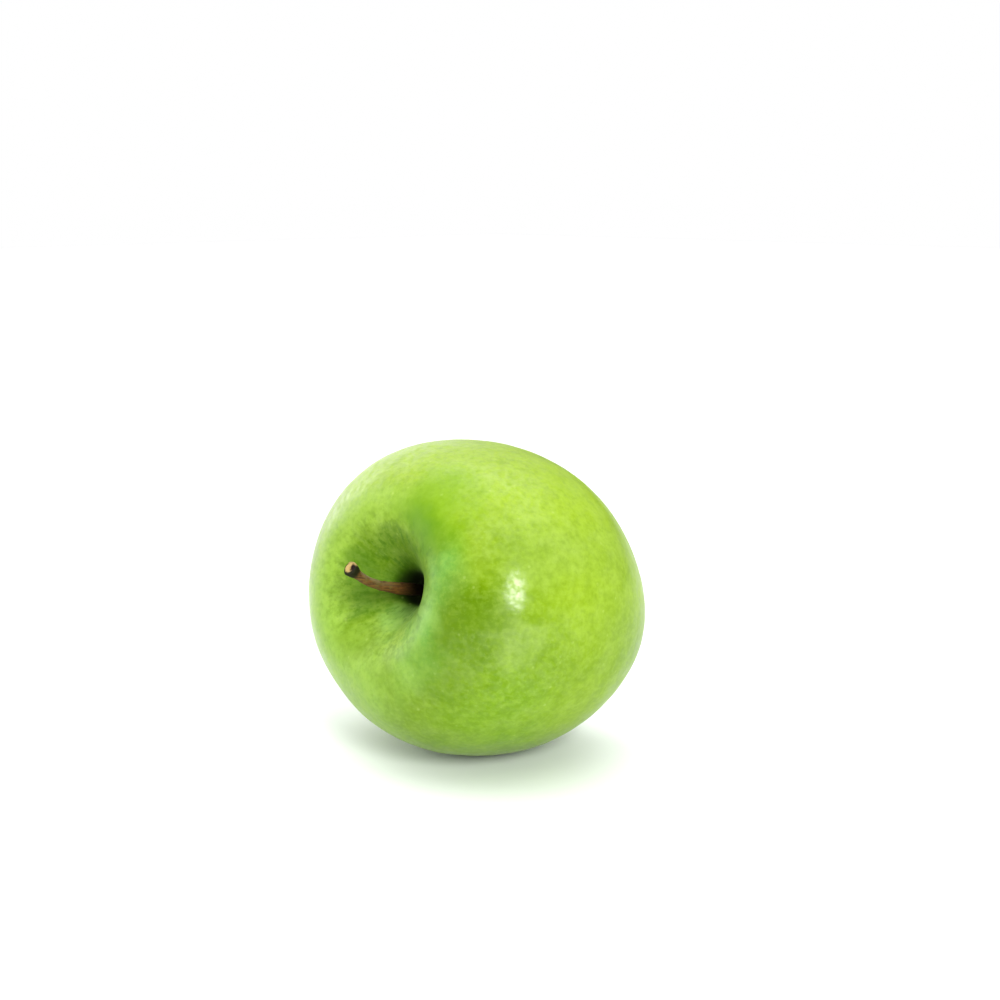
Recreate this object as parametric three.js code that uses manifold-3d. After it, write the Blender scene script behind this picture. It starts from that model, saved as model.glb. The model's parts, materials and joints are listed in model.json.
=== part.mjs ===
// A fresh green apple, picked with its stem on, lying on its side on a small flat spot.
// Four solids: the flesh with its skin, the woody stem in the stem cavity, and at the other
// end, in the basin, the five dried sepals and the tuft of dried stamens between them.
//
// Millimetres. The fruit is shaped in its own core frame, with +Z from the dried flower to the
// stem and the origin on the core line at the widest girth. The group `fruit` then lays it
// down: in the part's frame +Z is up, the stem end looks along -Y and a little up, and the
// origin is the middle of the flat spot that the fruit rests on.
import * as THREE from "three";
import { mergeVertices } from "three/addons/utils/BufferGeometryUtils.js";
import Module from "manifold-3d";

const wasm = await Module();
wasm.setup();

// ---- Driving dimensions ------------------------------------------------------------------
const girthRadius = 38.5; // core line to skin at the widest girth, as a mean
const shoulderReach = 37.4; // girth to the stem end, before the cavity sinks in
const heelReach = 41.6; // girth to the flower end, before the basin sinks in
const shoulderSquareness = 2.32; // 2 is an ellipse, more is a broader shoulder
const heelSquareness = 1.76; // less than 2 narrows the flower end
const taper = 0.028; // how much wider the stem half is than the flower half

const cavityBowl = { depth: 9.2, reach: 0.4, fall: 4 }; // reach in radians off the core line
const cavityThroat = { depth: 18, reach: 0.244, fall: 1 };
const basinBowl = { depth: 15, reach: 0.34, fall: 2 };

const ovality = { share: 0.058, towards: 2.95 }; // an oval girth, with its long way at this angle
const threeWay = { share: 0.008, towards: 0.41 };
const lobes = { count: 5, heel: 0.01, shoulder: 0.004, pucker: 0.06, towards: 1.11 };
const shoulderSlant = { share: 0.025, towards: 5.18 }; // the shoulder stands higher on this side
const heelSlant = { share: 0.024, towards: 5.24 };
const cavityFolds = { depth: 0.16, at: 0.42, spread: 0.2 };

const leanAngle = THREE.MathUtils.degToRad(13.3); // the core line above the horizontal
const flatDepth = 0.9; // how much the resting spot is flattened
const flatBlend = 0.15; // the soft edge of that spot

const girthSteps = 84;
const ringSteps = 46;
const ringCrowding = 0.6; // 0 spaces the rings evenly, towards 1 they crowd at both ends

const clearance = 0.3; // between a piece and the hole that it stands in
const stem = {
  radius: 1.12,
  rootFlare: 0.24,
  rootLength: 5,
  knobFlare: 0.85,
  knobLength: 2.6,
  ridge: 0.05, // its three and five ridges, as a share of the radius
  rootDepth: 3.6,
  sides: 14,
  steps: 34,
};
const calyxRing = { innerRadius: 1.5, outerRadius: 2.8, depth: 1.4, proud: 0.4 };
const sepal = { count: 5, width: 3.1, thickness: 0.7, tipShare: 0.16, towards: 0.3 };
const stamens = { count: 8, radius: 0.3, length: 3.3, discHeight: 1.1, seed: 7 };

// ---- The skin as a formula ---------------------------------------------------------------
// 1 on the stem half, 0 on the flower half, with a soft change at the girth.
const stemHalf = (cosine) => 0.5 + 0.5 * Math.tanh(3 * cosine);

const sink = (angle, { depth, reach, fall }) => depth * Math.exp(-((angle / reach) ** fall));

// Distance from the fruit's middle to the skin, at an angle off the core line and round it.
function skinRadius(off, round) {
  const [c, s] = [Math.cos(off), Math.sin(off)];
  const reach = c > 0 ? shoulderReach : heelReach;
  const n = heelSquareness + (shoulderSquareness - heelSquareness) * stemHalf(c);
  const girth = girthRadius * (1 + taper * c);
  const plain = ((s / girth) ** n + (Math.abs(c) / reach) ** n) ** (-1 / n);

  const lobeWave = Math.cos(lobes.count * (round - lobes.towards));
  const lobeShare = lobes.heel * stemHalf(-c - 0.2) + lobes.shoulder * stemHalf(c);
  const uneven =
    ovality.share * s * s * Math.cos(2 * (round - ovality.towards)) +
    threeWay.share * s ** 3 * Math.cos(3 * (round - threeWay.towards)) +
    lobeShare * s * lobeWave +
    2 * shoulderSlant.share * c * s * stemHalf(c) * Math.cos(round - shoulderSlant.towards) -
    2 * heelSlant.share * c * s * stemHalf(-c) * Math.cos(round - heelSlant.towards);

  const foldWave = Math.cos(3 * round + 1) + 0.6 * Math.cos(5 * round + 2.3) + 0.5 * Math.cos(8 * round);
  const folds = cavityFolds.depth * foldWave * Math.exp(-(((off - cavityFolds.at) / cavityFolds.spread) ** 2));
  const cavity = sink(off, cavityBowl) + sink(off, cavityThroat);
  const basin = sink(Math.PI - off, basinBowl) * (1 - lobes.pucker * lobeWave * Math.min(1, s * 6));
  return plain * (1 + uneven) - cavity - basin + folds;
}

// The same with no lobes, slants or folds: the mean round profile.
function meanRadius(off) {
  const samples = 60;
  let sum = 0;
  for (let i = 0; i < samples; i++) sum += skinRadius(off, (2 * Math.PI * i) / samples);
  return sum / samples;
}

// ---- The fruit laid down -----------------------------------------------------------------
const lay = new THREE.Matrix4().makeRotationX(Math.PI / 2 - leanAngle);
const upInCore = new THREE.Vector3(0, 0, 1).applyMatrix4(lay.clone().invert());

// ---- Flesh -------------------------------------------------------------------------------
const stemHoleRadius = (stem.radius + stem.rootFlare) * (1 + 2 * stem.ridge) + clearance;
const calyxHoleRadius = calyxRing.outerRadius + clearance;

// The angle off the core line at which the mean skin is this far from it, at either end.
function angleAtRadius(radius, atStemEnd) {
  let [low, high] = [0, 0.5];
  for (let i = 0; i < 40; i++) {
    const middle = (low + high) / 2;
    const off = atStemEnd ? middle : Math.PI - middle;
    if (meanRadius(off) * Math.sin(middle) < radius) low = middle;
    else high = middle;
  }
  return atStemEnd ? high : Math.PI - high;
}
const stemHoleAngle = angleAtRadius(stemHoleRadius, true);
const calyxHoleAngle = angleAtRadius(calyxHoleRadius, false);
const cavityFloor = meanRadius(stemHoleAngle) * Math.cos(stemHoleAngle);
const basinFloor = meanRadius(calyxHoleAngle) * Math.cos(calyxHoleAngle);

// Half the outline, from the middle of the calyx hole round the skin into the stem hole.
function fleshProfile() {
  const calyxHoleFloor = basinFloor + calyxRing.depth;
  const stemHoleFloor = cavityFloor - stem.rootDepth;
  const points = [
    [0, calyxHoleFloor],
    [calyxHoleRadius / 2, calyxHoleFloor],
    [calyxHoleRadius, calyxHoleFloor],
  ];
  for (let i = 0; i <= ringSteps; i++) {
    const u = i / ringSteps;
    const crowded = u - (ringCrowding * Math.sin(2 * Math.PI * u)) / (2 * Math.PI);
    const off = calyxHoleAngle + (stemHoleAngle - calyxHoleAngle) * crowded;
    points.push([meanRadius(off) * Math.sin(off), meanRadius(off) * Math.cos(off)]);
  }
  points.push([stemHoleRadius, (cavityFloor + stemHoleFloor) / 2]);
  points.push([stemHoleRadius, stemHoleFloor]);
  points.push([0, stemHoleFloor]);
  return points.map(([x, y]) => new THREE.Vector2(x, y));
}

// A lathe turns about Y; this stands it up about Z.
function turned(profile, steps) {
  return new THREE.LatheGeometry(profile, steps).rotateX(Math.PI / 2);
}

// Moves every vertex of a geometry by a function of its place.
function reshape(geometry, move) {
  const position = geometry.getAttribute("position");
  const p = new THREE.Vector3();
  for (let i = 0; i < position.count; i++) {
    move(p.fromBufferAttribute(position, i));
    position.setXYZ(i, p.x, p.y, p.z);
  }
  return geometry;
}

function addLobes(p) {
  const off = Math.atan2(Math.hypot(p.x, p.y), p.z);
  const onSkin = off >= stemHoleAngle - 1e-4 && off <= calyxHoleAngle + 1e-4;
  const inHole = p.length() < meanRadius(off) - 0.05;
  if (onSkin && !inHole) p.multiplyScalar(skinRadius(off, Math.atan2(p.y, p.x)) / meanRadius(off));
}

// The larger of a and b, with a soft corner where they are within `soft` of each other.
function softMax(a, b, soft) {
  const near = Math.max(soft - Math.abs(a - b), 0) / soft;
  return Math.max(a, b) + (near * near * soft) / 4;
}

function makeFlesh() {
  const geometry = reshape(turned(fleshProfile(), girthSteps), addLobes);
  const position = geometry.getAttribute("position");
  const p = new THREE.Vector3();
  let lowest = Infinity;
  for (let i = 0; i < position.count; i++) {
    lowest = Math.min(lowest, p.fromBufferAttribute(position, i).dot(upInCore));
  }
  const restHeight = lowest + flatDepth;

  // The middle of what the flat spot cuts off is the point that the fruit rests on.
  const middle = new THREE.Vector3();
  let share = 0;
  for (let i = 0; i < position.count; i++) {
    const below = restHeight - p.fromBufferAttribute(position, i).dot(upInCore);
    if (below > 0) {
      middle.addScaledVector(p, below);
      share += below;
    }
  }
  middle.divideScalar(share);
  middle.addScaledVector(upInCore, restHeight - middle.dot(upInCore));

  reshape(geometry, (v) => {
    const height = v.dot(upInCore);
    v.addScaledVector(upInCore, softMax(height, restHeight, flatBlend) - height);
  });
  return { geometry, restPoint: middle };
}

// ---- Stem --------------------------------------------------------------------------------
// It leaves the hole along the core line, then bends to one side and ends in a swollen knob.
const stemLine = new THREE.CatmullRomCurve3([
  new THREE.Vector3(0, 0, cavityFloor - stem.rootDepth + clearance),
  new THREE.Vector3(0, 0, cavityFloor + 1),
  new THREE.Vector3(-0.1, 0, cavityFloor + 5),
  new THREE.Vector3(0.35, 0, 28),
  new THREE.Vector3(0.55, 0.45, 33.8),
  new THREE.Vector3(0.8, 1.7, 38.2),
  new THREE.Vector3(1.4, 3.7, 42.3),
]);

function makeStem() {
  const geometry = new THREE.CylinderGeometry(1, 1, 1, stem.sides, stem.steps).rotateX(Math.PI / 2);
  const length = stemLine.getLength();
  const frames = stemLine.computeFrenetFrames(stem.steps);
  return reshape(geometry, (p) => {
    const u = THREE.MathUtils.clamp(p.z + 0.5, 0, 1);
    const step = Math.round(u * stem.steps);
    const fromEnd = (1 - u) * length;
    const knob = stem.knobFlare * Math.exp(-((fromEnd / stem.knobLength) ** 2));
    const root = stem.rootFlare * Math.exp((-u * length) / stem.rootLength);
    const round = Math.atan2(p.y, p.x);
    const ridges = 1 + stem.ridge * (Math.cos(3 * round + 2 * u) + Math.cos(5 * round - 3 * u));
    const radius = (stem.radius + root + knob) * ridges;
    const across = new THREE.Vector3()
      .addScaledVector(frames.normals[step], p.x * radius)
      .addScaledVector(frames.binormals[step], p.y * radius);
    p.copy(stemLine.getPointAt(u)).add(across);
  });
}

// ---- Dried flower ------------------------------------------------------------------------
function solidOf(geometry) {
  const bare = new THREE.BufferGeometry();
  bare.setAttribute("position", geometry.getAttribute("position"));
  bare.setIndex(geometry.getIndex());
  const merged = mergeVertices(bare, 1e-4);
  return new wasm.Manifold(
    new wasm.Mesh({
      numProp: 3,
      vertProperties: merged.getAttribute("position").array,
      triVerts: new Uint32Array(merged.getIndex().array),
    }),
  );
}

function geometryOf(solid) {
  const mesh = solid.getMesh();
  const geometry = new THREE.BufferGeometry();
  geometry.setAttribute("position", new THREE.BufferAttribute(mesh.vertProperties, 3));
  geometry.setIndex(new THREE.BufferAttribute(mesh.triVerts, 1));
  geometry.computeVertexNormals();
  return geometry;
}

const fuse = (solids) => solids.reduce((all, next) => all.add(next));

// A repeatable draw from 0 to 1.
function seededDraw(seed) {
  let state = seed;
  return () => {
    state = (state * 16807) % 2147483647;
    return state / 2147483647;
  };
}

const ringTop = basinFloor - calyxRing.proud;
const ringFoot = basinFloor + calyxRing.depth - clearance;

function makeRing() {
  const { innerRadius, outerRadius } = calyxRing;
  const section = [
    [innerRadius, ringTop],
    [outerRadius - 0.4, ringTop],
    [outerRadius, ringTop + 0.5],
    [outerRadius, ringFoot],
    [innerRadius, ringFoot],
    [innerRadius, ringTop],
  ].map(([x, y]) => new THREE.Vector2(x, y));
  return turned(section, 30);
}

// One dried sepal: it stands up from the ring, leans in over the stamens and curls its tip out.
function makeSepal(index) {
  const lean = [0.0, 0.35, -0.25, 0.2, -0.1][index];
  const line = new THREE.CatmullRomCurve3([
    new THREE.Vector3(2.15, 0, ringTop + 0.8),
    new THREE.Vector3(2.25, 0, ringTop - 1),
    new THREE.Vector3(2.05 + lean * 0.3, lean * 0.3, ringTop - 2.7),
    new THREE.Vector3(2.6 + lean, lean, ringTop - 4),
    new THREE.Vector3(4.2 + lean * 1.6, lean * 2, ringTop - 4.4 + lean),
  ]);
  const steps = 10;
  const blade = new THREE.BoxGeometry(1, 1, 1, 4, 1, steps);
  const outwards = new THREE.Vector3();
  const point = new THREE.Vector3();
  reshape(blade, (p) => {
    const u = p.z + 0.5;
    line.getPointAt(u, point);
    const along = line.getTangentAt(u);
    outwards.set(-along.z, 0, along.x).normalize();
    const width = sepal.width * Math.max(sepal.tipShare, (1 - u) ** 0.7);
    const cupped = 0.45 * (1 - u) * (2 * p.x) ** 2;
    const y = p.x * width;
    const depth = p.y * sepal.thickness * (1 - 0.15 * u) - cupped;
    p.set(point.x + outwards.x * depth, point.y + y, point.z + outwards.z * depth);
  });
  return blade.rotateZ(sepal.towards + (2 * Math.PI * index) / sepal.count);
}

function makeSepals() {
  const blades = Array.from({ length: sepal.count }, (_, i) => solidOf(makeSepal(i)));
  return geometryOf(fuse([solidOf(makeRing()), ...blades]));
}

// A low disc in the ring with the dried filaments standing on it.
function makeStamens() {
  const draw = seededDraw(stamens.seed);
  const discRadius = calyxRing.innerRadius - clearance;
  const disc = new THREE.CylinderGeometry(discRadius, discRadius, stamens.discHeight, 16)
    .rotateX(Math.PI / 2)
    .translate(0, 0, ringFoot - stamens.discHeight / 2);
  const parts = [solidOf(disc)];
  for (let i = 0; i < stamens.count; i++) {
    const middleOne = i === 0;
    const length = stamens.length * (middleOne ? 1.1 : 0.75 + 0.25 * draw());
    const round = (2 * Math.PI * (i + 0.4 * draw())) / (stamens.count - 1);
    const filament = new THREE.CylinderGeometry(stamens.radius, stamens.radius * 1.2, length, 6)
      .rotateX(-Math.PI / 2)
      .translate(0, 0, -length / 2)
      .rotateY(middleOne ? 0 : -0.06 - 0.06 * draw())
      .translate(middleOne ? 0 : 0.62, 0, ringFoot - stamens.discHeight / 2)
      .rotateZ(round);
    parts.push(solidOf(filament));
  }
  return geometryOf(fuse(parts));
}

// ---- Assembly ----------------------------------------------------------------------------
const finish = {
  skin: new THREE.MeshStandardMaterial({ color: 0x9cc83c, roughness: 0.32, metalness: 0 }),
  stem: new THREE.MeshStandardMaterial({ color: 0x6f4a34, roughness: 0.75, metalness: 0 }),
  sepals: new THREE.MeshStandardMaterial({ color: 0x7d7446, roughness: 0.9, metalness: 0 }),
  stamens: new THREE.MeshStandardMaterial({ color: 0x3f2c1c, roughness: 0.95, metalness: 0 }),
};

function piece(name, geometry, material) {
  const mesh = new THREE.Mesh(geometry, material);
  mesh.name = name;
  return mesh;
}

const flesh = makeFlesh();
const fruit = new THREE.Group();
fruit.add(
  piece("flesh_with_skin", flesh.geometry, finish.skin),
  piece("stem", makeStem(), finish.stem),
  piece("calyx_sepals", makeSepals(), finish.sepals),
  piece("calyx_stamens", makeStamens(), finish.stamens),
);
fruit.rotation.setFromRotationMatrix(lay);
fruit.position.copy(flesh.restPoint).applyMatrix4(lay).negate();

const greenApple = new THREE.Group();
greenApple.add(fruit);

export default greenApple;
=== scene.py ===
import bpy
import json
import random
from math import cos, exp, pi, radians, sin
from mathutils import Matrix, Vector

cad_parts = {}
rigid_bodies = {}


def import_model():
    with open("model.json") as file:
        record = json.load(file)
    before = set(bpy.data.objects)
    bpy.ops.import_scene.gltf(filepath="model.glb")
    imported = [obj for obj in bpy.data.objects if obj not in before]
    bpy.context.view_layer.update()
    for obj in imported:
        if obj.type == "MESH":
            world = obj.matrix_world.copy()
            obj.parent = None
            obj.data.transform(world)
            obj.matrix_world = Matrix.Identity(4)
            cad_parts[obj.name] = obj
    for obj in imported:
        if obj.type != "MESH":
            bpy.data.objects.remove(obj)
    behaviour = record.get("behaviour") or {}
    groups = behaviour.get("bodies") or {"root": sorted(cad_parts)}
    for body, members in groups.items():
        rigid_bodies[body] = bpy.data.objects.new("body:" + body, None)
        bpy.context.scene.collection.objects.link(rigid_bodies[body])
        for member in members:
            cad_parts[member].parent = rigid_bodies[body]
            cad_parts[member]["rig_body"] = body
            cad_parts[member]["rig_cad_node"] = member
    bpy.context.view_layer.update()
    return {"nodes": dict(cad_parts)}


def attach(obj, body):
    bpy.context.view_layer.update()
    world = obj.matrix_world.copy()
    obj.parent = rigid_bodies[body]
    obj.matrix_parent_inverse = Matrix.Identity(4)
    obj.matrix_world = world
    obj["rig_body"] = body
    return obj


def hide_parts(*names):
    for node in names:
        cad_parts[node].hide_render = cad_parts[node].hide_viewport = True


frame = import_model()
print("frame loaded:", sorted(frame["nodes"]))

mm = 0.001

# the fruit lies on its side; in its own core frame +Z runs from the dried flower to the stem
fruit = {
    "core": Vector((-1.78, -0.45, 35.97)) * mm,
    "lean": radians(13.3),  # core line above the horizontal
    "girth": 38.5 * mm,
}
coreTurn = (pi / 2 - fruit["lean"], 0, 0)
fromCore = Matrix.Translation(fruit["core"]) @ Matrix.Rotation(coreTurn[0], 4, "X")
toCore = fromCore.inverted()


def pickOnly(piece):
    bpy.ops.object.select_all(action="DESELECT")
    piece.select_set(True)
    bpy.context.view_layer.objects.active = piece


def selectVerts(piece, wanted):  # stays in edit mode with only the wanted ones selected
    if bpy.context.mode != "OBJECT":
        bpy.ops.object.mode_set(mode="OBJECT")
    pickOnly(piece)
    for vert in piece.data.vertices:
        vert.select = wanted(vert)
    for edge in piece.data.edges:
        edge.select = False
    for face in piece.data.polygons:
        face.select = False
    bpy.ops.object.mode_set(mode="EDIT")
    bpy.ops.mesh.select_mode(type="VERT")


def leaveEdit():
    bpy.ops.object.mode_set(mode="OBJECT")


def addModifier(piece, kind, **settings):
    pickOnly(piece)
    bpy.ops.object.modifier_add(type=kind)
    modifier = piece.modifiers[-1]
    for key, value in settings.items():
        setattr(modifier, key, value)
    return modifier


def applyModifiers(piece):
    pickOnly(piece)
    for modifier in list(piece.modifiers):
        bpy.ops.object.modifier_apply(modifier=modifier.name)


def swell(piece, name, size, height, **settings):  # size and height in millimetres
    texture = bpy.data.textures.new(name, "CLOUDS")
    texture.noise_scale = size * mm
    texture.noise_depth = 2
    settings.update(texture=texture, strength=height * mm, mid_level=0.5)
    addModifier(piece, "DISPLACE", **settings)


def joinAll(pieces, name):
    bpy.ops.object.select_all(action="DESELECT")
    for piece in pieces:
        piece.select_set(True)
    bpy.context.view_layer.objects.active = pieces[0]
    bpy.ops.object.join()
    joined = bpy.context.view_layer.objects.active
    joined.name = joined.data.name = name
    return joined


def finishPiece(piece, node, material):  # stands for the node in the frame
    piece.data.materials.clear()
    piece.data.materials.append(material)
    pickOnly(piece)
    bpy.ops.object.shade_smooth()
    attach(piece, "root")
    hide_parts(node)


def srgb(red, green, blue):  # from 0 to 255 steps to what the shader wants
    steps = [c / 255 for c in (red, green, blue)]
    return tuple(c / 12.92 if c < 0.04045 else ((c + 0.055) / 1.055) ** 2.4 for c in steps) + (1,)


class Shader:  # one material being wired up; each call adds a node and gives back its output
    def __init__(self, name):
        self.material = bpy.data.materials.new(name)
        self.material.use_nodes = True
        self.tree = self.material.node_tree
        self.tree.nodes.clear()

    def node(self, kind, inputs=None, **settings):
        made = self.tree.nodes.new(kind)
        for key, value in settings.items():
            setattr(made, key, value)
        for key, value in (inputs or {}).items():
            self.feed(made.inputs[key], value)
        return made

    def feed(self, socket, value):
        if isinstance(value, bpy.types.NodeSocket):
            self.tree.links.new(value, socket)
        else:
            socket.default_value = value

    def math(self, operation, a, b=0.0, c=0.0):
        made = self.node("ShaderNodeMath", {0: a, 1: b, 2: c}, operation=operation)
        return made.outputs[0]

    def fade(self, value, start, end, low=0.0, high=1.0):  # smoothly from low to high
        inputs = {"Value": value, "From Min": start, "From Max": end, "To Min": low, "To Max": high}
        if start > end:
            inputs.update({"From Min": end, "From Max": start, "To Min": high, "To Max": low})
        return self.node("ShaderNodeMapRange", inputs, interpolation_type="SMOOTHSTEP").outputs[0]

    def mix(self, amount, first, second):
        made = self.node("ShaderNodeMix", {0: amount, 6: first, 7: second}, data_type="RGBA")
        return made.outputs[2]

    def noise(self, vector, scale, detail=2.0, roughness=0.5):
        inputs = {"Vector": vector, "Scale": scale, "Detail": detail, "Roughness": roughness}
        return self.node("ShaderNodeTexNoise", inputs).outputs[0]

    def dots(self, vector, scale, size):  # soft round spots, 1 in the middle of each
        cells = self.node("ShaderNodeTexVoronoi", {"Vector": vector, "Scale": scale})
        return self.fade(cells.outputs["Distance"], size, size * 0.3)

    def bump(self, height, strength, distance, normal=None):
        inputs = {"Height": height, "Strength": strength, "Distance": distance}
        if normal is not None:
            inputs["Normal"] = normal
        return self.node("ShaderNodeBump", inputs).outputs[0]

    def surface(self, inputs):
        principled = self.node("ShaderNodeBsdfPrincipled", inputs)
        output = self.node("ShaderNodeOutputMaterial")
        self.tree.links.new(principled.outputs[0], output.inputs[0])
        return self.material


def coreCoordinates(shader):  # turned into the core frame, 1 at the girth
    where = shader.node("ShaderNodeTexCoord").outputs["Object"]
    inputs = {
        "Vector": where,
        "Location": fruit["core"],
        "Rotation": coreTurn,
        "Scale": (fruit["girth"],) * 3,
    }
    return shader.node("ShaderNodeMapping", inputs, vector_type="TEXTURE").outputs[0]


skin = {
    "cheek": srgb(98, 130, 1),
    "sunnyAndRimLit": srgb(130, 159, 2),
    "ripe": srgb(106, 146, 1),
    "leafy": srgb(82, 114, 0),
    "mintSheen": srgb(98, 148, 56),
    "bloomAndSheen": srgb(134, 170, 64),
    "hazeAndSheen": srgb(146, 170, 86),
    "deep": srgb(48, 90, 1),
    # painted black shadow for the bottom of the pit
    "pit": srgb(8, 11, 2),
    "russet": srgb(96, 88, 38),
    "fleck": srgb(156, 184, 70),
    "pore": srgb(178, 194, 108),
    "paleSheen": srgb(132, 174, 84),
    "fresh": srgb(76, 122, 0),
    # uneven ripening and some painted light: middle in the core frame, reach, colour, amount
    "patches": [
        ((0.72, -0.08, 0.76), 0.36, "leafy", 1.0),
        ((0.28, 0.56, 0.74), 0.36, "ripe", 0.5),
        ((0.36, 0.33, 0.81), 0.16, "leafy", 0.6),
        ((0.31, 0.74, 0.59), 0.4, "hazeAndSheen", 0.15),
        ((0.82, 0.42, 0.46), 0.4, "hazeAndSheen", 0.16),
        # painted reflection: a pale veil below the highlight
        ((0.93, -0.13, 0.55), 0.2, "hazeAndSheen", 0.3),
        ((0.98, 0.25, 0.2), 0.45, "hazeAndSheen", 0.12),
        # pale bloom on the left and round the cavity, partly a painted rim reflection
        ((-0.42, 0.0, 0.75), 0.3, "bloomAndSheen", 0.4),
        ((-0.45, -0.35, 0.8), 0.5, "bloomAndSheen", 0.6),
        ((0.31, -0.37, 0.87), 0.3, "bloomAndSheen", 0.35),
        ((-0.1, -0.62, 0.75), 0.45, "bloomAndSheen", 0.62),
        ((0.78, -0.68, 0.4), 0.55, "ripe", 0.5),
        # painted rim light: the lower right made lighter
        ((1.0, -0.56, -0.1), 0.55, "sunnyAndRimLit", 0.5),
    ],
    # the same, over the mottling
    "upperPatches": [
        ((0.28, 0.5, 0.77), 0.36, "ripe", 0.52),
        ((0.33, 0.36, 0.81), 0.2, "fresh", 0.3),
        ((0.4, 0.1, 0.82), 0.16, "fresh", 0.25),
        ((0.2, 0.38, 0.77), 0.22, "fresh", 0.6),
        ((0.71, -0.08, 0.77), 0.28, "leafy", 0.4),
        ((0.58, -0.34, 0.8), 0.32, "leafy", 0.4),
        ((-0.22, 0.0, 0.72), 0.22, "deep", 0.35),
        ((-0.14, -0.34, 0.78), 0.24, "cheek", 0.5),
        # painted reflection: pale crescents on the cavity's lip and lower wall
        ((0.4, -0.1, 0.81), 0.18, "paleSheen", 0.55),
        ((0.04, -0.18, 0.64), 0.2, "paleSheen", 0.6),
    ],
    # middle, reach and amount
    # the pale lip is partly a painted reflection
    "deepLip": ((0.05, -0.26, 0.72), 0.32, 0.2),  # the pale lip reaches further in
    "rubbed": ((0.26, 0.46, 0.79), 0.4, 0.9),  # the wax is rubbed off
    # mottling: pattern, where it starts, where it is full, amount, colour
    "mottling": [
        ("clouds", 0.42, 0.66, 0.18, "hazeAndSheen"),
        ("spots", 0.44, 0.64, 0.15, "fleck"),
        ("spots", 0.5, 0.34, 0.21, "leafy"),
        ("fibres", 0.46, 0.66, 0.14, "hazeAndSheen"),
        ("fibres", 0.5, 0.34, 0.16, "leafy"),
        ("grain", 0.46, 0.64, 0.19, "fleck"),
        ("grain", 0.48, 0.32, 0.26, "leafy"),
    ],
    # how often a pattern repeats over the girth's radius
    "clouds": 5.5,
    "spots": 13.0,
    "fibres": 11.0,
    "grain": 36.0,
    "streaks": 7.0,
    "pores": 12.0,
    "russetGrain": 30.0,
    "waxGrain": 30.0,
    # where the mesh draws in: reach off the core line and its inner and outer end along it,
    # all in millimetres, and how much is left
    "holes": [
        (2.1, 8, 19, 0.7),  # round the stem
        (3.5, -20, -28.6, 0.86),  # round the dried flower
    ],
    "subdivisions": 2,
    # size and height, in millimetres
    "swell": (14, 0.35),
    "dimple": (4, 0.06),
}


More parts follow.
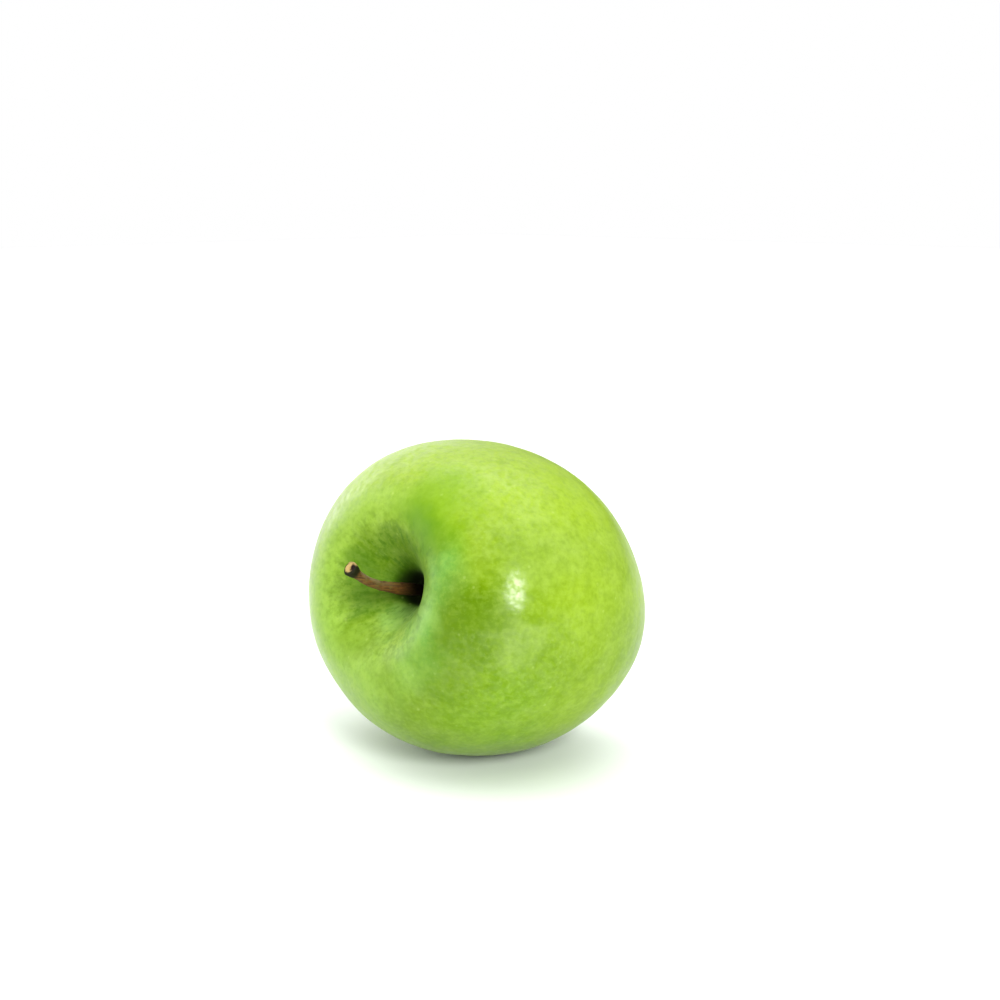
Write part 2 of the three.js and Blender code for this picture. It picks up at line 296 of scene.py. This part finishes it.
def makeSkinMaterial():
    s = Shader("apple_skin")
    core = coreCoordinates(s)
    split = s.node("ShaderNodeSeparateXYZ", {0: core})
    x, y, z = split.outputs
    away = s.math("SQRT", s.math("ADD", s.math("MULTIPLY", x, x), s.math("MULTIPLY", y, y)))
    polar = s.math("ARCTAN2", away, z)  # 0 at the stem, pi at the flower
    ring = s.math("MAXIMUM", away, 0.001)
    east, north = s.math("DIVIDE", x, ring), s.math("DIVIDE", y, ring)

    def times(a, b):
        return s.math("MULTIPLY", a, b)

    def alongMeridians(stretch):
        inputs = {0: east, 1: north, 2: times(polar, stretch)}
        return s.node("ShaderNodeCombineXYZ", inputs).outputs[0]

    # broad zones: yellower above, leafier below
    height = s.math("ADD", y, times(s.math("SUBTRACT", s.noise(core, 1.6, 1.0), 0.5), 1.1))
    color = s.mix(s.fade(height, -0.3, 0.75), skin["cheek"], skin["sunnyAndRimLit"])
    color = s.mix(times(s.fade(height, -0.35, -1.0), 0.5), color, skin["leafy"])
    wander = s.math("MULTIPLY_ADD", s.noise(core, 5.0, 2.0), 0.3, -0.15)

    def patch(middle, reach, amount):
        gap = s.node("ShaderNodeVectorMath", {0: core, 1: middle}, operation="DISTANCE")
        gap = s.math("ADD", gap.outputs["Value"], wander)
        return s.fade(gap, reach, reach * 0.3, 0.0, amount)

    # a pale lip round the stem cavity, partly wax bloom and partly a painted reflection of the
    # bright surroundings, and patches of uneven ripening and of painted light
    depth = s.math("ADD", polar, times(wander, 0.4))
    depth = s.math("ADD", depth, patch(*skin["deepLip"]))
    lip = times(s.fade(depth, 0.4, 0.5), s.fade(polar, 0.78, 0.58))
    color = s.mix(times(lip, s.fade(east, 0.6, -0.2, 0.0, 0.5)), color, skin["bloomAndSheen"])
    mintSheen = times(s.fade(east, 0.35, 0.85), s.fade(north, 0.8, 0.5))
    color = s.mix(times(lip, mintSheen), color, skin["mintSheen"])
    for middle, reach, tint, amount in skin["patches"]:
        color = s.mix(patch(middle, reach, amount), color, skin[tint])

    # mottling, stronger round the stem, with fibres along the meridians
    busy = s.fade(polar, 0.54, 0.38, 0.7, 1.8)
    patterns = {
        "clouds": s.noise(core, skin["clouds"], 3.0, 0.6),
        "spots": s.noise(core, skin["spots"], 3.0, 0.55),
        "fibres": s.noise(alongMeridians(1.0), skin["fibres"], 3.0, 0.6),
        "grain": s.noise(core, skin["grain"], 3.0, 0.6),
    }
    for name, start, full, amount, tint in skin["mottling"]:
        share = times(s.fade(patterns[name], start, full, 0.0, amount), busy)
        color = s.mix(share, color, skin[tint])
    # the cavity wall darker green: partly its own colour, partly painted shade in the hollow
    wall = s.fade(depth, 0.5, 0.38)
    color = s.mix(times(wall, 0.56), color, skin["deep"])
    for middle, reach, tint, amount in skin["upperPatches"]:
        color = s.mix(patch(middle, reach, amount), color, skin[tint])

    # streaks running down to the pit, then painted shade darkening the skin towards it and a
    # painted black shadow in the pit itself
    streaks = s.fade(s.noise(alongMeridians(2.4), skin["streaks"], 3.0, 0.6), 0.5, 0.64)
    color = s.mix(times(streaks, s.fade(depth, 0.56, 0.42, 0.0, 0.4)), color, skin["deep"])
    color = s.mix(s.fade(depth, 0.3, 0.18, 0.0, 0.7), color, skin["deep"])
    color = s.mix(s.fade(depth, 0.26, 0.16, 0.0, 0.97), color, skin["pit"])

    # the basin round the dried flower
    basin = s.fade(polar, 2.8, 3.02)
    color = s.mix(times(basin, 0.5), color, skin["leafy"])
    russet = s.fade(s.noise(core, skin["russetGrain"], 4.0), 0.4, 0.6)
    color = s.mix(times(s.fade(polar, 2.95, 3.06), russet), color, skin["russet"])

    # small pale pores
    pores = times(s.dots(core, skin["pores"], 0.16), s.fade(patterns["spots"], 0.4, 0.6, 0.0, 0.2))
    color = s.mix(pores, color, skin["pore"])

    # fine relief, and wax that is thickest on the cheek and rubbed off in places
    normal = s.bump(s.noise(core, 12.0, 2.0), 0.1, 0.0006)
    normal = s.bump(patterns["grain"], 0.08, 0.0002, normal)
    rough = s.math("ADD", s.fade(patterns["spots"], 0.3, 0.7, 0.34, 0.46), times(wall, 0.2))
    wax = times(s.fade(polar, 0.45, 0.8), s.fade(polar, 1.6, 1.15, 0.2, 1.0))
    wax = times(wax, s.fade(y, -0.35, -0.75, 1.0, 0.2))
    wax = times(wax, s.fade(s.noise(core, skin["waxGrain"], 1.0), 0.35, 0.6, 0.16, 0.5))
    wax = times(wax, s.math("SUBTRACT", 1.0, patch(*skin["rubbed"])))
    return s.surface({
        "Base Color": color,
        "Roughness": rough,
        "IOR": 1.37,
        "Specular IOR Level": 0.25,
        "Specular Tint": (0.85, 1.0, 0.4, 1),
        "Subsurface Weight": 0.2,
        "Subsurface Radius": (1.0, 1.3, 0.3),
        "Subsurface Scale": 0.003,
        "Sheen Weight": 0.12,
        "Sheen Roughness": 0.3,
        "Sheen Tint": (0.85, 1.0, 0.6, 1),
        "Coat Weight": wax,
        "Coat Roughness": 0.18,
        "Coat IOR": 1.5,
        "Normal": normal,
    })


def makeSkin():
    node = frame["nodes"]["flesh_with_skin"]
    pickOnly(node)
    bpy.ops.object.duplicate()
    piece = bpy.context.view_layer.objects.active
    piece.name = piece.data.name = "apple_skin"
    piece.parent = None
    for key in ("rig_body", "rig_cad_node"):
        del piece[key]
    bpy.ops.object.mode_set(mode="EDIT")
    bpy.ops.mesh.select_all(action="SELECT")
    bpy.ops.mesh.remove_doubles(threshold=0.02 * mm)
    bpy.ops.mesh.tris_convert_to_quads(face_threshold=radians(50), shape_threshold=radians(60))
    leaveEdit()
    # the skin closes round the stem and round the dried flower
    for reach, inner, outer, left in skin["holes"]:

        def inHole(vert):
            at = toCore @ vert.co / mm
            return at.xy.length < reach and min(inner, outer) < at.z < max(inner, outer)

        selectVerts(piece, inHole)
        middle = fromCore @ Vector((0, 0, outer * mm))
        bpy.ops.transform.resize(value=(left,) * 3, center_override=middle)
        leaveEdit()
    addModifier(piece, "SUBSURF", levels=skin["subdivisions"], render_levels=skin["subdivisions"])
    swell(piece, "skin_swell", *skin["swell"])
    swell(piece, "skin_dimple", *skin["dimple"])
    applyModifiers(piece)
    finishPiece(piece, "flesh_with_skin", makeSkinMaterial())
    print("skin:", len(piece.data.polygons), "faces")


stem = {
    "radius": 0.98 * mm,
    "rootFlare": 0.3 * mm,
    "rootLength": 3 * mm,
    "belly": 0.42 * mm,  # how much it swells where it leaves the pit
    "bellyAt": 10 * mm,
    "bellyLength": 7 * mm,
    "knobFlare": 0.62 * mm,
    "knobLength": 2.2 * mm,
    "sides": 28,
    "rings": 56,
    # size and height, in millimetres
    "bark": (0.9, 0.28),
    "lumps": (2.2, 0.3),
    "barkStretch": 7,
    # the torn face from its rim inwards: inset as a share of its radius, rise in millimetres
    "tornSteps": [(0.06, 0.1), (0.14, -0.14), (0.18, -0.06), (0.2, 0.04), (0.12, -0.5)],
    # the line it follows, in the core frame and in millimetres
    "line": [
        (0, 0, 13.6),
        (0, 0, 17.7),
        (-0.1, 0, 21.7),
        (0.35, 0.15, 28),
        (0.55, 0.75, 33.8),
        (0.8, 2.0, 38.2),
        (1.4, 3.7, 42.1),
    ],
    # the torn face: middle in the core frame, reach, both in millimetres, and colour
    "endPatches": [
        ((0.95, 4.15, 42.3), 1.6, "torn"),
        ((1.8, 3.95, 41.8), 0.95, "heartAndPitShadow"),
    ],
    "wood": srgb(104, 68, 24),
    "grain": srgb(57, 35, 12),
    "shade": srgb(50, 31, 10),
    "mauve": srgb(108, 96, 64),
    "moss": srgb(88, 84, 40),
    "rind": srgb(24, 25, 4),
    "torn": srgb(172, 146, 92),
    "heartAndPitShadow": srgb(26, 10, 8),
}


def curveThrough(name, points):  # points of the core frame, in millimetres
    data = bpy.data.curves.new(name, "CURVE")
    data.dimensions = "3D"
    data.twist_mode = "MINIMUM"
    data.resolution_u = 24
    spline = data.splines.new("BEZIER")
    spline.bezier_points.add(len(points) - 1)
    for point, place in zip(spline.bezier_points, points):
        point.co = fromCore @ (Vector(place) * mm)
        point.handle_left_type = point.handle_right_type = "AUTO"
    curve = bpy.data.objects.new(name, data)
    bpy.context.scene.collection.objects.link(curve)
    bpy.context.view_layer.update()
    return curve, data.splines[0].calc_length()


def makeStemMaterial():
    s = Shader("stem_wood")
    core = coreCoordinates(s)
    along = s.node("ShaderNodeAttribute", attribute_name="along").outputs["Fac"]
    torn = s.node("ShaderNodeAttribute", attribute_name="torn").outputs["Fac"]
    drawn = s.node("ShaderNodeMapping", {"Vector": core, "Scale": (1, 1, 0.14)}).outputs[0]
    fibre = s.noise(drawn, 90.0, 4.0, 0.65)
    color = s.mix(s.fade(fibre, 0.35, 0.65), stem["grain"], stem["wood"])
    upward = s.node("ShaderNodeAttribute", attribute_name="upper").outputs["Fac"]

    # mauve bloom, laid thicker on the upper side as a painted top light, moss in patches, painted
    # shade and a painted black shadow down in the pit, rind at the knob
    bloomAndSheen = s.fade(s.noise(core, 28.0, 2.0), 0.25, 0.5)
    bloomAndSheen = s.math("MULTIPLY", bloomAndSheen, s.fade(along, 0.4, 0.75))
    bloomAndSheen = s.math("MULTIPLY", bloomAndSheen, s.fade(upward, -0.3, 0.8, 0.15, 1.0))
    color = s.mix(bloomAndSheen, color, stem["mauve"])
    moss = s.fade(s.noise(core, 20.0, 3.0), 0.5, 0.66)
    color = s.mix(s.math("MULTIPLY", moss, 0.45), color, stem["moss"])
    # painted shade where the stem goes into the pit, and a painted black shadow deepest in it
    color = s.mix(s.fade(along, 0.55, 0.3), color, stem["shade"])
    color = s.mix(s.fade(along, 0.36, 0.2), color, stem["heartAndPitShadow"])
    color = s.mix(s.fade(along, 0.9, 0.955), color, stem["rind"])

    # a pale rim over the knob, then the torn face
    height = s.node("ShaderNodeSeparateXYZ", {0: core}).outputs[1]
    edge = s.math("MULTIPLY", s.fade(height, 0.112, 0.128), s.fade(along, 0.93, 0.98, 0.0, 0.7))
    color = s.mix(edge, color, stem["torn"])
    patchy = s.math("MULTIPLY_ADD", s.noise(core, 40.0, 3.0), 0.024, -0.012)
    end = stem["rind"]
    for middle, reach, tint in stem["endPatches"]:
        middle = Vector(middle) * mm / fruit["girth"]
        gap = s.node("ShaderNodeVectorMath", {0: core, 1: middle}, operation="DISTANCE")
        gap = s.math("ADD", gap.outputs["Value"], patchy)
        reach = reach * mm / fruit["girth"]
        end = s.mix(s.fade(gap, reach, reach * 0.6), end, stem[tint])
    color = s.mix(s.fade(torn, 0.2, 0.4), color, end)
    normal = s.bump(fibre, 0.5, 0.0003)
    return s.surface({
        "Base Color": color,
        "Roughness": 0.75,
        "Specular IOR Level": 0.12,
        "Normal": normal,
    })


def stemRadius(height, length):
    root = stem["rootFlare"] * exp(-height / stem["rootLength"])
    belly = stem["belly"] * exp(-(((height - stem["bellyAt"]) / stem["bellyLength"]) ** 2))
    knob = stem["knobFlare"] * exp(-(((length - height) / stem["knobLength"]) ** 2))
    return stem["radius"] + root + belly + knob


def makeStem():
    line, length = curveThrough("stem_line", stem["line"])
    step = length / stem["rings"]
    bpy.ops.mesh.primitive_circle_add(
        vertices=stem["sides"], radius=stemRadius(0, length), fill_type="NGON"
    )
    piece = bpy.context.view_layer.objects.active
    piece.name = piece.data.name = "apple_stem"
    pickOnly(piece)
    bpy.ops.object.mode_set(mode="EDIT")
    bpy.ops.mesh.select_mode(type="FACE")
    bpy.ops.mesh.select_all(action="SELECT")
    for i in range(stem["rings"]):
        grow = stemRadius((i + 1) * step, length) / stemRadius(i * step, length)
        bpy.ops.mesh.extrude_region_move(TRANSFORM_OT_translate={"value": (0, 0, step)})
        bpy.ops.transform.resize(value=(grow, grow, 1), center_override=(0, 0, (i + 1) * step))

    # the torn end: a rolled edge, a rough face and a hollow heart
    knob = stemRadius(length, length)
    for share, rise in stem["tornSteps"]:
        bpy.ops.mesh.inset(thickness=knob * share)
        bpy.ops.transform.translate(value=(0, 0, rise * mm))
    bpy.ops.mesh.select_all(action="SELECT")
    bpy.ops.mesh.normals_make_consistent(inside=False)
    leaveEdit()

    # where it is along the line, and how far into the torn face
    alongMark = piece.data.attributes.new("along", "FLOAT", "POINT")
    tornMark = piece.data.attributes.new("torn", "FLOAT", "POINT")
    for vert in piece.data.vertices:
        alongMark.data[vert.index].value = min(1, vert.co.z / length)
        onEnd = vert.co.z > length - 0.8 * mm and vert.co.xy.length < knob * 0.93
        tornMark.data[vert.index].value = 1 - vert.co.xy.length / knob * 0.75 if onEnd else 0

    addModifier(piece, "SUBSURF", levels=1, render_levels=1)
    bpy.ops.object.empty_add()
    grainGuide = bpy.context.view_layer.objects.active
    grainGuide.scale = (1, 1, stem["barkStretch"])
    along = {"texture_coords": "OBJECT", "texture_coords_object": grainGuide}
    swell(piece, "bark", *stem["bark"], **along)
    swell(piece, "stem_lumps", *stem["lumps"])
    bend = addModifier(piece, "CURVE", object=line)
    bend.deform_axis = "POS_Z"
    applyModifiers(piece)
    # how far each point faces up, for the painted top light on the stem's upper side
    upperMark = piece.data.attributes.new("upper", "FLOAT", "POINT")
    for vert in piece.data.vertices:
        upperMark.data[vert.index].value = vert.normal.z
    bpy.data.objects.remove(line)
    bpy.data.objects.remove(grainGuide)
    finishPiece(piece, "stem", makeStemMaterial())
    print("stem:", len(piece.data.polygons), "faces, line", round(length / mm, 1), "mm")


calyx = {
    # in millimetres
    "top": -28.03,  # along the core line
    "sepalWidth": 3.1,
    "sepalThickness": 0.32,
    "sepalCrinkle": (1.1, 0.22),  # size and height
    "hairRadius": 0.045,
    "hairLength": 0.9,
    "ringRadius": 2.15,
    "ringTubeRadius": 0.72,
    "ringLumps": (1.2, 0.3),
    "stamenLength": 3.0,
    "stamenRadius": 0.2,
    "stamenBend": 0.05,
    "stamenReach": 0.95,
    "antherRadius": 0.3,
    "discRadius": 1.45,
    # how many there are, and how the sepals stand
    "stamens": 13,
    "hairs": 55,  # on each sepal
    "leans": (0.0, 0.35, -0.25, 0.2, -0.1),
    "turn": 0.3,
    "olive": srgb(128, 122, 70),
    "brown": srgb(84, 62, 36),
    "down": srgb(190, 186, 160),
    "stamen": srgb(58, 36, 22),
    "seed": 11,
}


def makeSepalMaterial():
    s = Shader("sepal")
    core = coreCoordinates(s)
    veins = s.noise(core, 34.0, 4.0, 0.6)
    color = s.mix(s.fade(veins, 0.35, 0.65), calyx["brown"], calyx["olive"])
    height = s.node("ShaderNodeSeparateXYZ", {0: core}).outputs[2]
    tips = s.fade(height, -0.79, -0.85)
    color = s.mix(s.math("MULTIPLY", tips, 0.8), color, calyx["brown"])
    down = s.fade(s.noise(core, 110.0, 3.0, 0.7), 0.5, 0.68)
    color = s.mix(s.math("MULTIPLY", down, 0.55), color, calyx["down"])
    normal = s.bump(s.noise(core, 80.0, 3.0), 0.5, 0.0002)
    return s.surface({"Base Color": color, "Roughness": 0.9, "Sheen Weight": 0.3, "Normal": normal})


def makeStamenMaterial():
    s = Shader("stamen")
    core = coreCoordinates(s)
    color = s.mix(s.fade(s.noise(core, 60.0, 2.0), 0.35, 0.65), calyx["stamen"], calyx["brown"])
    normal = s.bump(s.noise(core, 120.0, 2.0), 0.4, 0.0001)
    return s.surface({"Base Color": color, "Roughness": 0.92, "Normal": normal})


def copyOf(piece, placing):  # the copy has its own mesh
    twin = piece.copy()
    twin.data = piece.data.copy()
    bpy.context.scene.collection.objects.link(twin)
    twin.matrix_world = placing
    return twin


def settle(pieces, name):  # joins pieces modelled in the core frame and lays them in the fruit
    joined = joinAll(pieces, name)
    bpy.ops.object.transform_apply(location=True, rotation=True, scale=True)
    joined.matrix_world = fromCore
    bpy.ops.object.transform_apply(location=True, rotation=True, scale=True)
    return joined


def makeSepal(lean):  # stands on the ring, leans in over the stamens, curls out at its tip
    top = calyx["top"]
    rows = [  # radial, sideways, height, share of the full width, cupping
        (2.2, 0, top + 0.9, 0.95, 0.3),
        (2.3, 0, top - 0.1, 1.0, 0.3),
        (2.2, 0, top - 1.1, 1.0, 0.3),
        (2.05 + lean * 0.2, lean * 0.2, top - 2.1, 0.9, 0.28),
        (2.2 + lean * 0.5, lean * 0.4, top - 3.0, 0.72, 0.2),
        (2.6 + lean, lean, top - 3.8, 0.52, 0.12),
        (3.2 + lean * 1.3, lean * 1.5, top - 4.2 + lean * 0.5, 0.32, 0.06),
        (3.9 + lean * 1.5, lean * 1.9, top - 4.3 + lean * 0.9, 0.12, 0),
    ]
    columns = 6
    bpy.ops.mesh.primitive_grid_add(x_subdivisions=columns, y_subdivisions=len(rows) - 1, size=1)
    sepal = bpy.context.view_layer.objects.active
    sepal.name = "sepal"
    across = columns + 1
    for row, (out, side, height, share, cup) in enumerate(rows):
        ends = [sepal.data.vertices[row * across + i].co for i in (0, across - 1)]
        middle = (ends[0] + ends[1]) / 2
        selectVerts(sepal, lambda vert: vert.index // across == row)
        width = calyx["sepalWidth"] * share * mm
        bpy.ops.transform.resize(value=(width, 1, 1), center_override=middle)
        bpy.ops.transform.rotate(value=pi / 2, orient_axis="Z", center_override=middle)
        bpy.ops.transform.translate(value=Vector((out, side, height)) * mm - middle)
        leaveEdit()
        for inner in (1, 2, 3):
            selectVerts(
                sepal,
                lambda vert: vert.index // across == row
                and inner <= vert.index % across < across - inner,
            )
            bpy.ops.transform.translate(value=(cup * 0.5 * mm / inner, 0, 0))
            leaveEdit()
    addModifier(sepal, "SOLIDIFY", thickness=calyx["sepalThickness"] * mm, offset=0)
    addModifier(sepal, "SUBSURF", levels=2, render_levels=2)
    swell(sepal, "sepal_crinkle", *calyx["sepalCrinkle"])
    applyModifiers(sepal)
    selectVerts(sepal, lambda vert: True)
    bpy.ops.mesh.normals_make_consistent(inside=False)
    leaveEdit()
    return sepal


def makeCalyx():
    chance = random.Random(calyx["seed"])
    sepals = []
    for i, lean in enumerate(calyx["leans"]):
        sepal = makeSepal(lean)
        sepal.rotation_euler.z = calyx["turn"] + 2 * pi * i / len(calyx["leans"])
        sepals.append(sepal)
    bpy.context.view_layer.update()

    bpy.ops.mesh.primitive_cone_add(
        vertices=3, radius1=calyx["hairRadius"] * mm, radius2=0, depth=calyx["hairLength"] * mm
    )
    hair = bpy.context.view_layer.objects.active
    bpy.ops.object.transform_apply(location=True)
    hairs = []
    for sepal in sepals:
        faces = [f for f in sepal.data.polygons if f.center.z < (calyx["top"] - 0.6) * mm]
        for face in chance.sample(faces, calyx["hairs"]):
            tilt = Vector([chance.uniform(-0.7, 0.7) for _ in range(3)])
            turn = (face.normal + tilt).to_track_quat("Z", "Y").to_matrix().to_4x4()
            size = Matrix.Scale(chance.uniform(0.5, 1.1), 4)
            root = Matrix.Translation(face.center) @ turn @ Matrix.Translation((0, 0, 0.2 * mm))
            hairs.append(copyOf(hair, sepal.matrix_world @ root @ size))
    bpy.data.objects.remove(hair)

    bpy.ops.mesh.primitive_torus_add(
        major_segments=60,
        minor_segments=16,
        major_radius=calyx["ringRadius"] * mm,
        minor_radius=calyx["ringTubeRadius"] * mm,
        location=(0, 0, (calyx["top"] + 0.75) * mm),
    )
    ring = bpy.context.view_layer.objects.active
    swell(ring, "ring_lumps", *calyx["ringLumps"])
    applyModifiers(ring)
    piece = settle(sepals + [ring] + hairs, "apple_calyx")
    finishPiece(piece, "calyx_sepals", makeSepalMaterial())
    print("calyx:", len(piece.data.polygons), "faces")


def makeStamens():
    chance = random.Random(calyx["seed"] + 1)
    rings = 12
    step = calyx["stamenLength"] / rings * mm
    bpy.ops.mesh.primitive_circle_add(
        vertices=8, radius=calyx["stamenRadius"] * mm, fill_type="NGON"
    )
    thread = bpy.context.view_layer.objects.active
    bpy.ops.object.mode_set(mode="EDIT")
    bpy.ops.mesh.select_mode(type="FACE")
    bpy.ops.mesh.select_all(action="SELECT")
    for i in range(rings):
        bend = calyx["stamenBend"] * mm * sin(i * 0.5)
        bpy.ops.mesh.extrude_region_move(TRANSFORM_OT_translate={"value": (bend, 0, -step)})
        bpy.ops.transform.resize(value=(0.97, 0.97, 1))
    bpy.ops.mesh.select_all(action="SELECT")
    bpy.ops.mesh.normals_make_consistent(inside=False)
    leaveEdit()
    # the anther hangs on one side of the end, picked by place and not by the vertices' order
    endHeight = (0.01 - calyx["stamenLength"]) * mm
    ends = [vert.co for vert in thread.data.vertices if vert.co.z < endHeight]
    tip = min(ends, key=lambda place: place.x - place.y).copy()
    bpy.ops.mesh.primitive_uv_sphere_add(
        segments=14, ring_count=10, radius=calyx["antherRadius"] * mm, location=tip
    )
    anther = bpy.context.view_layer.objects.active
    anther.scale = (1.2, 0.8, 0.9)
    bpy.ops.object.transform_apply(location=True, rotation=True, scale=True)
    stamen = joinAll([thread, anther], "stamen")

    stamens = []
    for i in range(calyx["stamens"]):
        around = i * 2.4  # the golden angle spreads them evenly
        out = calyx["stamenReach"] * mm * (i / (calyx["stamens"] - 1)) ** 0.5
        place = Vector((out * cos(around), out * sin(around), (calyx["top"] + 0.6) * mm))
        lean = Matrix.Rotation(0.12 + 0.1 * chance.random(), 4, (-sin(around), cos(around), 0))
        spin = Matrix.Rotation(chance.uniform(0, 2 * pi), 4, "Z")
        size = Matrix.Scale(chance.uniform(0.8, 1.05), 4)
        stamens.append(copyOf(stamen, Matrix.Translation(place) @ lean @ spin @ size))
    bpy.data.objects.remove(stamen)
    bpy.ops.mesh.primitive_cylinder_add(
        vertices=40,
        radius=calyx["discRadius"] * mm,
        depth=1.2 * mm,
        location=(0, 0, (calyx["top"] + 0.9) * mm),
    )
    disc = bpy.context.view_layer.objects.active
    addModifier(disc, "BEVEL", width=0.3 * mm, segments=4)
    applyModifiers(disc)
    piece = settle(stamens + [disc], "apple_stamens")
    finishPiece(piece, "calyx_stamens", makeStamenMaterial())
    print("stamens:", len(piece.data.polygons), "faces")


studio = {
    "azimuth": 0.7821,  # radians the camera is turned from looking along +Y
    "pitch": radians(11),
    "cameraFromCore": Vector((260.91, -255.48, 93.59)) * mm,
    "lens": 57.6,
    "floor": srgb(236, 241, 237),
    "floorSize": 6.0,
    # the light tent: height in degrees, reach in degrees, and the light of each panel,
    # starting straight ahead of the camera and going round by its right
    "rows": [
        (5, 38, (0, 0, 0.4, 0.3, 0, 0.3, 0.1, 0, 1.0, 1.3, 2.5, 1.4)),
        (42, 42, (0.9, 0.8, 0.25, 0, 0, 1.1)),
        (90, 50, (2.55,)),
    ],
    "key": {
        "around": radians(159.5),
        "up": radians(24.5),
        "distance": 0.9,
        "width": 0.25,
        "height": 0.43,
        "watts": 8.5,
    },
}


def makeCamera():
    data = bpy.data.cameras.new("camera")
    data.lens = studio["lens"]
    data.sensor_width = 36
    data.clip_start = 0.01
    camera = bpy.data.objects.new("camera", data)
    bpy.context.scene.collection.objects.link(camera)
    camera.location = fruit["core"] + studio["cameraFromCore"]
    camera.rotation_euler = (pi / 2 - studio["pitch"], 0, studio["azimuth"])
    bpy.context.scene.camera = camera


def makeFloor():
    bpy.ops.mesh.primitive_plane_add(size=studio["floorSize"])
    floor = bpy.context.view_layer.objects.active
    floor.name = "floor"
    s = Shader("floor_paper")
    floor.data.materials.append(s.surface({"Base Color": studio["floor"], "Roughness": 0.6}))


def towards(around, up):  # radians round from straight ahead by the right, radians up
    turn = studio["azimuth"] - around
    return Vector((-sin(turn) * cos(up), cos(turn) * cos(up), sin(up)))


def makeSoftbox(name, around, up, distance, width, height, watts):  # looks at the middle
    data = bpy.data.lights.new(name, "AREA")
    data.shape = "ELLIPSE"
    data.size, data.size_y = width, height
    data.energy = watts
    light = bpy.data.objects.new(name, data)
    bpy.context.scene.collection.objects.link(light)
    out = towards(around, up)
    light.location = fruit["core"] + out * distance
    light.rotation_euler = out.to_track_quat("Z", "Y").to_euler()


def tentPanels():  # direction, reach and light of each
    for up, reach, levels in studio["rows"]:
        for i, level in enumerate(levels):
            if level:
                yield towards(2 * pi * i / len(levels), radians(up)), radians(reach), level


def makeWorld():  # soft panels all round, and plain white where the camera looks
    world = bpy.data.worlds.new("light_tent")
    bpy.context.scene.world = world
    world.use_nodes = True
    tree = world.node_tree
    tree.nodes.clear()
    direction = tree.nodes.new("ShaderNodeTexCoord").outputs["Generated"]
    light = None
    for middle, reach, level in tentPanels():
        facing = tree.nodes.new("ShaderNodeVectorMath")
        facing.operation = "DOT_PRODUCT"
        facing.inputs[1].default_value = middle
        tree.links.new(direction, facing.inputs[0])
        panel = tree.nodes.new("ShaderNodeMapRange")
        panel.interpolation_type = "SMOOTHSTEP"
        panel.inputs["From Min"].default_value = cos(reach)
        panel.inputs["To Max"].default_value = level
        tree.links.new(facing.outputs["Value"], panel.inputs["Value"])
        if light is None:
            light = panel.outputs[0]
            continue
        total = tree.nodes.new("ShaderNodeMath")
        tree.links.new(panel.outputs[0], total.inputs[0])
        tree.links.new(light, total.inputs[1])
        light = total.outputs[0]
    background = tree.nodes.new("ShaderNodeBackground")
    tree.links.new(light, background.inputs["Strength"])
    background.inputs["Color"].default_value = (1, 1, 1, 1)
    backdrop = tree.nodes.new("ShaderNodeBackground")
    backdrop.inputs["Color"].default_value = (1, 1, 1, 1)
    seen = tree.nodes.new("ShaderNodeLightPath")
    mix = tree.nodes.new("ShaderNodeMixShader")
    tree.links.new(seen.outputs["Is Camera Ray"], mix.inputs[0])
    tree.links.new(background.outputs[0], mix.inputs[1])
    tree.links.new(backdrop.outputs[0], mix.inputs[2])
    output = tree.nodes.new("ShaderNodeOutputWorld")
    tree.links.new(mix.outputs[0], output.inputs[0])


makeSkin()
makeStem()
makeCalyx()
makeStamens()
makeCamera()
makeFloor()
makeWorld()
makeSoftbox("key", **studio["key"])
bpy.context.scene.view_settings.view_transform = "Standard"
print("studio:", len(list(tentPanels())), "tent panels, one key light, paper floor, camera")
